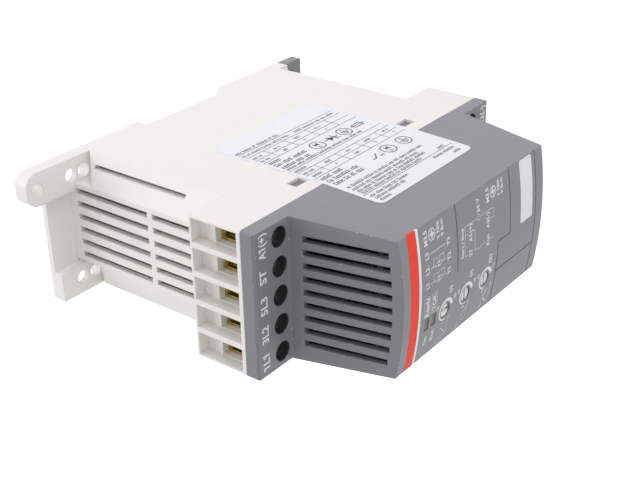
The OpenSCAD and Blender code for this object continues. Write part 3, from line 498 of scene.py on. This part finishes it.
# Scale round a dial: a wedge that widens clockwise, three numbers and a unit
WEDGE_INNER = (2.85, 2.8)
WEDGE_OUTER = (3.1, 4.0)
WEDGE_START = 195.0
WEDGE_END = -78.0
NUMBER_PLACES = ((-4.1, 0.6), (2.6, 4.2), (2.5, -4.7))
NUMBER_CAP = 1.15
UNIT_PLACE = (5.9, -2.0)
DIAL_NUMBERS = (("1", "10", "20"), ("0", "10", "20"), ("40", "55", "70"))
DIAL_UNITS = ("(s)", "(s)", "(%)")

# Sketch of voltage over time beside each dial: height of its corner, its curve and the curve's width
AXES_U = -18.2
AXES_W = 4.8
AXES_H = 4.3
ARROW_L = 0.55
ARROW_HALF_W = 0.275
ARROW_SPREAD = 1.6
U_PLACE = (-1.0, 4.5)
U_CAP = 0.9
T_PLACE = (5.3, -0.4)
T_CAP = 1.0
SKETCHES = ((14.9, [(-17.4, 15.6), (-14.6, 18.4)], 0.2),
            (3.9, [(-17.4, 7.2), (-14.6, 4.6)], 0.2),
            (-9.4, [(-18.0, -7.6), (-16.6, -6.0), (-15.4, -6.0), (-14.0, -7.6)], 0.4))

# Wiring of the phases: levels from the line end to the load end, and sizes of a valve and its bypass
LINE_WORD_V = 27.0
LINE_END_V = 25.4
BYPASS_TOP_V = 24.0
VALVE_TOP_V = 22.9
CONTACT_TOP_V = 22.3
VALVE_MIDDLE_V = 21.3
CONTACT_LOW_V = 20.6
VALVE_LOW_V = 19.7
BYPASS_LOW_V = 18.6
LOAD_END_V = 17.5
LOAD_WORD_V = 16.1
VALVE_DU = 0.55
VALVE_HALF_W = 0.5
VALVE_HALF_H = 0.45
VALVE_BAR_DV = 0.5
BYPASS_DU = 2.2
BLADE_TIP = (1.6, 22.2)
PHASES = ((3.0, "L1", "T1", True), (7.5, "L2", "T2", True), (11.9, "L3", "T3", False))

# Note on the terminal screws: words with their height over its middle and their capitals, and a head
NOTE_PLACES = ((17.0, 23.8), (17.1, -8.8))
NOTE_WORDS = (("M3.5", 3.2, 1.6), ("1 Nm", -3.0, 1.5), ("9 lb.in", -5.0, 1.4))
HEAD_R = 1.75
HEAD_LINE = 0.3
CROSS_HALF = 1.0
CROSS_LINE = 0.45
STAR_HALF = 0.6
STAR_LINE = 0.18

# Words beside the lights, and the wiring of the control terminals with its source
STATUS_WORDS = (("On", -15.0, 26.4), ("Run", -14.6, 22.9), ("Ready", -3.6, 26.9), ("TOR", -3.6, 23.3))
STATUS_FRAME_VS = (27.0, 23.3)
STATUS_FRAME_U0 = -6.6
STATUS_FRAME_U1 = -0.7
STATUS_FRAME_BELOW = 1.35
STATUS_FRAME_ABOVE = 1.3
START_PLACE = (8.1, 8.9)
START_CAP = 1.25
START_W = 9.2
SOURCE_PLACE = (12.5, -0.2)
SOURCE_R = 0.9
CONTROL_WORDS = (("ST", 3.5, 4.5), ("A1(+)", 9.6, 4.5), ("24 V", 16.1, -0.2), ("Run", 3.6, -5.1),
                 ("A2(-)", 9.6, -5.1))
CONTROL_WIRES = ([(3.4, 5.9), (3.4, 7.3), (6.4, 7.3), (8.3, 7.9)],
                 [(8.6, 7.3), (12.5, 7.3), (12.5, 0.7)],
                 [(9.8, 7.3), (9.8, 5.9)],
                 [(12.5, -1.1), (12.5, -8.6), (9.7, -8.6), (9.7, -6.5)],
                 [(9.8, 3.2), (9.8, 2.2), (3.4, 2.2), (3.4, 0.6)],
                 [(2.7, 0.4), (3.4, -2.0), (3.4, -3.8)],
                 [(3.4, -6.5), (3.4, -8.6)])


def arrow(marks, tail, head):
    marks.line([tail, head], THIN_LINE)
    a = math.atan2(head[1] - tail[1], head[0] - tail[0])
    tip = [(head[0] + ARROW_L * math.cos(a), head[1] + ARROW_L * math.sin(a))]
    for side in (a + ARROW_SPREAD, a - ARROW_SPREAD):
        tip.append((head[0] + ARROW_HALF_W * math.cos(side), head[1] + ARROW_HALF_W * math.sin(side)))
    marks.face(tip)


def dial_scale(marks, z, numbers, unit):
    marks.arc(DIAL_X, z, WEDGE_INNER, WEDGE_OUTER, WEDGE_START, WEDGE_END)
    for words, (du, dv) in zip(numbers, NUMBER_PLACES):
        marks.text(words, DIAL_X + du, z + dv, NUMBER_CAP)
    marks.text(unit, DIAL_X + UNIT_PLACE[0], z + UNIT_PLACE[1], WORD_CAP)


def voltage_sketch(marks, v, curve, width):
    arrow(marks, (AXES_U, v), (AXES_U, v + AXES_H))
    arrow(marks, (AXES_U, v), (AXES_U + AXES_W, v))
    marks.line(curve, width)
    marks.text("U", AXES_U + U_PLACE[0], v + U_PLACE[1], U_CAP)
    marks.text("t", AXES_U + T_PLACE[0], v + T_PLACE[1], T_CAP)


def power_path(marks, u, name_in, name_out, switched):
    """One phase from its line terminal to its load terminal."""
    marks.text(name_in, u, LINE_WORD_V, WORD_CAP)
    marks.text(name_out, u, LOAD_WORD_V, WORD_CAP)
    if not switched:
        marks.line([(u, LINE_END_V), (u, LOAD_END_V)])
        return
    marks.line([(u, LINE_END_V), (u, VALVE_TOP_V)])
    marks.line([(u, VALVE_LOW_V), (u, LOAD_END_V)])
    for x, s in ((u - VALVE_DU, 1), (u + VALVE_DU, -1)):
        base = VALVE_MIDDLE_V + VALVE_HALF_H * s
        bar = VALVE_MIDDLE_V - VALVE_BAR_DV * s
        marks.line([(x, VALVE_TOP_V), (x, VALVE_LOW_V)], FINE_LINE)
        marks.face([(x - VALVE_HALF_W, base), (x + VALVE_HALF_W, base),
                    (x, VALVE_MIDDLE_V - VALVE_HALF_H * s)])
        marks.line([(x - VALVE_HALF_W, bar), (x + VALVE_HALF_W, bar)], FINE_LINE)
    for v in (VALVE_TOP_V, VALVE_LOW_V):
        marks.line([(u - VALVE_DU, v), (u + VALVE_DU, v)], FINE_LINE)
    side = u + BYPASS_DU
    marks.line([(u, BYPASS_TOP_V), (side, BYPASS_TOP_V), (side, CONTACT_TOP_V)], THIN_LINE)
    marks.line([(side, CONTACT_LOW_V), (u + BLADE_TIP[0], BLADE_TIP[1])], THIN_LINE)
    marks.line([(side, CONTACT_LOW_V), (side, BYPASS_LOW_V), (u, BYPASS_LOW_V)], THIN_LINE)


def screw_note(marks, u, v):
    """Thread, driver and torque of the terminal screws."""
    for words, dv, cap in NOTE_WORDS:
        marks.text(words, u, v + dv, cap)
    marks.ring(u, v, HEAD_R, HEAD_LINE)
    marks.line([(u - CROSS_HALF, v), (u + CROSS_HALF, v)], CROSS_LINE)
    marks.line([(u, v - CROSS_HALF), (u, v + CROSS_HALF)], CROSS_LINE)
    for dv in (STAR_HALF, -STAR_HALF):
        marks.line([(u - STAR_HALF, v - dv), (u + STAR_HALF, v + dv)], STAR_LINE)


def print_front():
    marks = Print()
    for words, u, v in STATUS_WORDS:
        marks.text(words, u, v, STATUS_CAP)
    for v in STATUS_FRAME_VS:
        marks.frame(STATUS_FRAME_U0, v - STATUS_FRAME_BELOW, STATUS_FRAME_U1, v + STATUS_FRAME_ABOVE,
                    THIN_LINE)
    for z, numbers, unit in zip(DIAL_ZS, DIAL_NUMBERS, DIAL_UNITS):
        dial_scale(marks, z, numbers, unit)
    for v, curve, width in SKETCHES:
        voltage_sketch(marks, v, curve, width)
    for u, name_in, name_out, switched in PHASES:
        power_path(marks, u, name_in, name_out, switched)
    for u, v in NOTE_PLACES:
        screw_note(marks, u, v)
    marks.text("Start / Stop", *START_PLACE, START_CAP, START_W)
    for words, u, v in CONTROL_WORDS:
        marks.text(words, u, v, WORD_CAP)
    for wire in CONTROL_WIRES:
        marks.line(wire, WIRE_LINE)
    marks.ring(*SOURCE_PLACE, SOURCE_R, WIRE_LINE)
    marks.lay("front_print", on_front, WHITE_INK)


# Terminal marks with their printed widths, from the left
LINE_MARKS = (("1L1", 5.2), ("3L2", 5.5), ("5L3", 5.6), ("ST", 4.4), ("A1(+)", 7.6))
LOAD_MARKS = (("2T1", 5.2), ("4T2", 5.5), ("6T3", 5.6), ("Run", 5.4), ("A2(-)", 7.6))
MARK_V = 56.7
MARK_DU = -0.2
MIDDLE_TERMINAL = 2


def print_terminals():
    marks = Print()
    for row, v in ((LINE_MARKS, MARK_V), (LOAD_MARKS, -MARK_V)):
        for i, (words, width) in enumerate(row):
            u = (i - MIDDLE_TERMINAL) * TERM_PITCH + MARK_DU
            marks.text(words, u, v, TERMINAL_CAP, width)
    marks.lay("terminal_print", on_terminal_plate, WHITE_INK)


# Label: depths of its rules, upright lines with the depths they run between, and rows of small print
LABEL_U0 = -23.2
LABEL_U1 = 22.5
LABEL_SEED = 7
RULE_DS = (45.25, 48.6, 51.9, 54.9, 64.6, 67.4, 70.4, 73.6, 90.35)
FIELDS = (((-16.0, -6.25, 4.0, 14.0), 48.6, 54.9),
          ((-15.75, -5.75, 4.4, 14.4), 67.4, 73.6))
SMALL_ROW = 1.1
SMALL_ROWS = ((44.0, ((-23.2, -3.3),)),
              (46.9, ((-23.2, -1.5), (1.0, 21.5))),
              (50.3, ((-22.7, -18.2), (-12.9, -9.8), (-3.1, 0.2), (7.0, 10.2))),
              (53.4, ((-22.7, -17.8), (-12.2, -10.0), (-2.1, -1.0), (8.5, 9.6))),
              (63.2, ((-22.9, 14.0),)),
              (66.0, ((-22.9, -16.6),)),
              (68.9, ((-22.7, -17.3), (-12.3, -9.0), (-2.1, 1.0), (7.2, 10.5), (17.0, 20.2))),
              (72.0, ((-22.3, -17.8), (-11.2, -10.2), (-1.8, 1.0), (8.8, 9.7), (18.8, 19.6))),
              (84.1, ((-22.3, 15.5),)),
              (85.9, ((-22.3, 11.0),)),
              (87.6, ((-22.3, 12.7),)),
              (89.2, ((-22.3, 8.2), (16.5, 20.3))),
              (91.9, ((-22.3, -4.0), (10.0, 22.2))),
              (93.6, ((-22.3, -8.0),)),
              (94.3, ((17.4, 22.0),)),
              (95.3, ((-22.3, -16.5),)))
LARGE_ROW = 1.55
LARGE_ROW_U0 = -22.6
LARGE_ROWS = ((56.4, -17.0), (58.8, -8.3), (61.3, -9.3), (75.3, -12.5), (77.7, -7.5), (80.0, -8.3))

# Letters of small print, as shares of the row's height, and the fewest and most letters in a word
STROKE = 0.2
LETTER_WIDTHS = (0.36, 0.46, 0.54)
LETTER_HEIGHTS = (0.75, 0.75, 1.0)
LETTER_GAP = 0.2
WORD_GAP = 0.5
WORD_LETTERS = (2, 8)


def small_print(marks, rng, u0, u1, d, height):
    """A row too small to read: strokes of letter size, grouped like words."""
    stroke = STROKE * height
    base = -d - height / 2
    u = u0
    while u < u1 - WORD_GAP * height:
        for _ in range(rng.randint(*WORD_LETTERS)):
            if u > u1 - WORD_GAP * height:
                break
            wide = height * rng.choice(LETTER_WIDTHS)
            tall = height * rng.choice(LETTER_HEIGHTS)
            stem = u + stroke / 2
            marks.bar(u, base, u + wide, base + stroke)
            marks.bar(u, base + tall - stroke, u + wide, base + tall)
            marks.line([(stem, base + stroke / 2), (stem, base + tall - stroke / 2)], stroke)
            u += wide + LETTER_GAP * height
        u += WORD_GAP * height


# Symbols of electrical parts, drawn round their middle
SYMBOL_R = 2.75


def motor_symbol(marks, u, v):
    marks.ring(u, v, SYMBOL_R, SYMBOL_LINE)
    marks.text("M", u, v + 0.65, 1.7)
    marks.text("3~", u, v - 1.3, 1.1)


def thyristor_symbol(marks, u, v):
    marks.line([(u - 3.0, v), (u + 3.0, v)], SYMBOL_LINE)
    marks.face([(u - 1.2, v - 1.7), (u + 1.1, v), (u - 1.2, v + 1.7)])
    marks.line([(u + 1.3, v - 1.7), (u + 1.3, v + 1.7)], SYMBOL_LINE)
    marks.line([(u + 1.4, v - 0.2), (u + 2.6, v - 1.6)], GATE_LINE)


def earth_symbol(marks, u, v):
    marks.ring(u, v, SYMBOL_R, EARTH_RING)
    marks.line([(u, v + 1.8), (u, v + 0.1)], SYMBOL_LINE)
    for half, dv in ((1.5, 0.0), (1.0, -0.75), (0.5, -1.5)):
        marks.line([(u - half, v + dv), (u + half, v + dv)], SYMBOL_LINE)


def contact_symbol(marks, u, v):
    marks.line([(u - 2.7, v - 0.9), (u - 1.2, v - 0.9), (u + 0.9, v + 1.2)], CONTACT_LINE)
    marks.line([(u + 1.1, v - 0.9), (u + 2.7, v - 0.9)], CONTACT_LINE)


def fuse_symbol(marks, u, v):
    marks.frame(u - 2.0, v - 1.0, u + 2.0, v + 1.0, SYMBOL_LINE)
    marks.line([(u - 3.1, v), (u + 3.1, v)], GATE_LINE)


LABEL_SYMBOLS = ((motor_symbol, -3.2, 59.3), (thyristor_symbol, 3.6, 59.3), (earth_symbol, 10.3, 59.3),
                 (fuse_symbol, 17.2, 59.3), (contact_symbol, 0.4, 78.2), (motor_symbol, 7.0, 78.0),
                 (earth_symbol, 15.2, 78.0))


def print_label():
    """Ruled fields, rows of small print and plain symbols of electrical parts."""
    marks = Print()
    rng = random.Random(LABEL_SEED)
    for d in RULE_DS:
        marks.line([(LABEL_U0, -d), (LABEL_U1, -d)], RULE_LINE)
    for us, top, bottom in FIELDS:
        for u in us:
            marks.line([(u, -top), (u, -bottom)], FIELD_LINE)
    for d, spans in SMALL_ROWS:
        for u0, u1 in spans:
            small_print(marks, rng, u0, u1, d, SMALL_ROW)
    for d, u1 in LARGE_ROWS:
        small_print(marks, rng, LARGE_ROW_U0, u1, d, LARGE_ROW)
    for symbol, u, d in LABEL_SYMBOLS:
        symbol(marks, u, -d)
    marks.lay("label_print", on_label, DARK_INK)


print_front()
print_terminals()
print_label()


def cage_lip(end, number):
    """Strap end of a clamp cage, bent up towards the wire, with grip ridges across its rear wall."""
    name = {1: "line", -1: "load"}[end]
    low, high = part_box(f"{name}_cage_{number}")
    x = (low[0] + high[0]) / 2 / MM
    root = max(abs(low[2]), abs(high[2])) / MM
    outer, inner = LIP_HALF_W, LIP_HALF_W - LIP_LEG
    valley = LIP_REAR_D + LIP_REAR_WALL
    steps = 2 * LIP_RIDGES
    levels = [(root - LIP_LAP, valley)]
    for i in range(steps + 1):
        levels.append((root + LIP_LAP + LIP_REACH * i / steps, valley + i % 2 * LIP_RIDGE_H))
    rings = []
    for z, rear in levels:
        outline = [(-outer, LIP_REAR_D), (-inner, LIP_REAR_D), (inner, LIP_REAR_D), (outer, LIP_REAR_D),
                   (outer, rear), (outer, LIP_FRONT_D), (inner, LIP_FRONT_D), (inner, rear),
                   (-inner, rear), (-inner, LIP_FRONT_D), (-outer, LIP_FRONT_D), (-outer, rear)]
        rings.append([((x + u) * MM, -d * MM, end * z * MM) for u, d in outline])
    count = len(rings[0])
    faces = []
    for r in range(len(rings) - 1):
        for i in range(count):
            j = (i + 1) % count
            faces.append([r * count + i, r * count + j, (r + 1) * count + j, (r + 1) * count + i])
    for start in (0, (len(rings) - 1) * count):
        for corners in LIP_CAPS:
            faces.append([start + i for i in corners])
    mesh = bpy.data.meshes.new(f"{name}_cage_lip_{number}")
    mesh.from_pydata([p for ring in rings for p in ring], [], faces)
    shape = bmesh.new()
    shape.from_mesh(mesh)
    bmesh.ops.recalc_face_normals(shape, faces=shape.faces)
    shape.to_mesh(mesh)
    shape.free()
    mesh.materials.append(FINISHES["brass"])
    piece = bpy.data.objects.new(mesh.name, mesh)
    bpy.context.scene.collection.objects.link(piece)
    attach(piece, f"{name}_cage_{number}")


for end in (1, -1):
    for number in range(1, 6):
        cage_lip(end, number)


def latch_coil():
    """A copy of the latch's spring, shown in place of its CAD node."""
    piece = bpy.data.objects.new("latch_coil", frame["nodes"]["latch_spring"].data.copy())
    bpy.context.scene.collection.objects.link(piece)
    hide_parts("latch_spring")
    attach(piece, "housing")
    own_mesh(piece)


latch_coil()

# Studio: floor, surroundings and lamps, in metres and watts
FLOOR_DROP = 0.5 * MM
FLOOR_HALF = 3.0
FLOOR_COLOUR = (0.8, 0.8, 0.8, 1.0)
FLOOR_GLOW = 0.75
ROOM_LIGHT = 0.66
LAMP_DISTANCE = 0.9
LAMP_SIZE = 0.6
WHITE = (1.0, 1.0, 1.0)
# Each lamp's name, direction from the part, power and colour
LAMPS = (("key", (0.92, -0.38, 0.0), 2.0, (1.02, 0.98, 1.08)),
         ("rear_box", (0.2, 0.78, 0.58), 3.3, WHITE),
         ("front_box", (0.2, -0.8, -0.5), 0.3, WHITE),
         ("fill", (-1.0, 0.0, 0.2), 0.4, WHITE))

# The photograph's view, fitted to corners of the part: place in millimetres, axes and focal length
CAMERA_PLACE = (155.91, -254.35, 256.95)
CAMERA_RIGHT = (-0.015808655, -0.798077558, -0.602347323)
CAMERA_UP = (0.888406727, 0.265205516, -0.374699243)
CAMERA_BACK = (0.458784889, -0.541052905, 0.704824928)
CAMERA_LENS = 64.734
SENSOR_W = 36.0
CLIP_START = 0.01


def sight(nodes, links):
    """1 for rays from the camera, also through gloss and glass."""
    path = nodes.new("ShaderNodeLightPath")
    total = path.outputs["Is Camera Ray"]
    for name in ("Is Glossy Ray", "Is Transmission Ray"):
        node = nodes.new("ShaderNodeMath")
        node.operation = "MAXIMUM"
        links.new(total, node.inputs[0])
        links.new(path.outputs[name], node.inputs[1])
        total = node.outputs[0]
    return total


def stage_floor():
    """A plain white floor under the lower ear, white to the camera apart from a faint shadow."""
    z = cad_box[0][2] - FLOOR_DROP
    corners = [(x * FLOOR_HALF, y * FLOOR_HALF, z) for x, y in ((-1, -1), (1, -1), (1, 1), (-1, 1))]
    mesh = bpy.data.meshes.new("floor")
    mesh.from_pydata(corners, [], [(0, 1, 2, 3)])
    floor = bpy.data.objects.new("floor", mesh)
    floor.visible_shadow = False
    bpy.context.scene.collection.objects.link(floor)
    material = bpy.data.materials.new("floor_paper")
    material.use_nodes = True
    nodes, links = material.node_tree.nodes, material.node_tree.links
    nodes.clear()
    out = nodes.new("ShaderNodeOutputMaterial")
    paper = nodes.new("ShaderNodeBsdfDiffuse")
    paper.inputs["Color"].default_value = FLOOR_COLOUR
    glow = nodes.new("ShaderNodeEmission")
    glow.inputs["Strength"].default_value = FLOOR_GLOW
    seen = nodes.new("ShaderNodeAddShader")
    links.new(paper.outputs[0], seen.inputs[0])
    links.new(glow.outputs[0], seen.inputs[1])
    lit = nodes.new("ShaderNodeMixShader")
    links.new(sight(nodes, links), lit.inputs[0])
    links.new(paper.outputs[0], lit.inputs[1])
    links.new(seen.outputs[0], lit.inputs[2])
    clear = nodes.new("ShaderNodeBsdfTransparent")
    sides = nodes.new("ShaderNodeMixShader")
    links.new(nodes.new("ShaderNodeNewGeometry").outputs["Backfacing"], sides.inputs[0])
    links.new(lit.outputs[0], sides.inputs[1])
    links.new(clear.outputs[0], sides.inputs[2])
    links.new(sides.outputs[0], out.inputs["Surface"])
    mesh.materials.append(material)


def surroundings():
    """An even white room, full white to the camera."""
    world = bpy.data.worlds.new("studio")
    bpy.context.scene.world = world
    world.use_nodes = True
    nodes, links = world.node_tree.nodes, world.node_tree.links
    nodes.clear()
    out = nodes.new("ShaderNodeOutputWorld")
    seen = nodes.new("ShaderNodeBackground")
    room = nodes.new("ShaderNodeBackground")
    for shader, level in ((seen, 1.0), (room, ROOM_LIGHT)):
        shader.inputs["Color"].default_value = (*WHITE, 1.0)
        shader.inputs["Strength"].default_value = level
    mix = nodes.new("ShaderNodeMixShader")
    links.new(sight(nodes, links), mix.inputs[0])
    links.new(room.outputs[0], mix.inputs[1])
    links.new(seen.outputs[0], mix.inputs[2])
    links.new(mix.outputs[0], out.inputs["Surface"])


def softbox(name, direction, energy, colour):
    """A square lamp that faces the middle of the part from a direction."""
    middle = Vector((0.0, -DEPTH / 2 * MM, 0.0))
    way = Vector(direction).normalized()
    data = bpy.data.lights.new(name, "AREA")
    data.shape = "SQUARE"
    data.size = LAMP_SIZE
    data.energy = energy
    data.color = colour
    lamp = bpy.data.objects.new(name, data)
    lamp.location = middle + way * LAMP_DISTANCE
    lamp.rotation_mode = "QUATERNION"
    lamp.rotation_quaternion = way.to_track_quat("Z", "Y")
    lamp.visible_camera = False
    bpy.context.scene.collection.objects.link(lamp)


def photo_camera():
    data = bpy.data.cameras.new("camera")
    data.sensor_fit = "HORIZONTAL"
    data.sensor_width = SENSOR_W
    data.lens = CAMERA_LENS
    data.clip_start = CLIP_START
    camera = bpy.data.objects.new("camera", data)
    turn = Matrix((CAMERA_RIGHT, CAMERA_UP, CAMERA_BACK)).transposed().to_4x4()
    camera.matrix_world = Matrix.Translation(Vector(CAMERA_PLACE) * MM) @ turn
    bpy.context.scene.collection.objects.link(camera)
    bpy.context.scene.camera = camera


stage_floor()
surroundings()
for lamp_name, direction, energy, colour in LAMPS:
    softbox(lamp_name, direction, energy, colour)
photo_camera()
bpy.context.scene.view_settings.view_transform = "Standard"
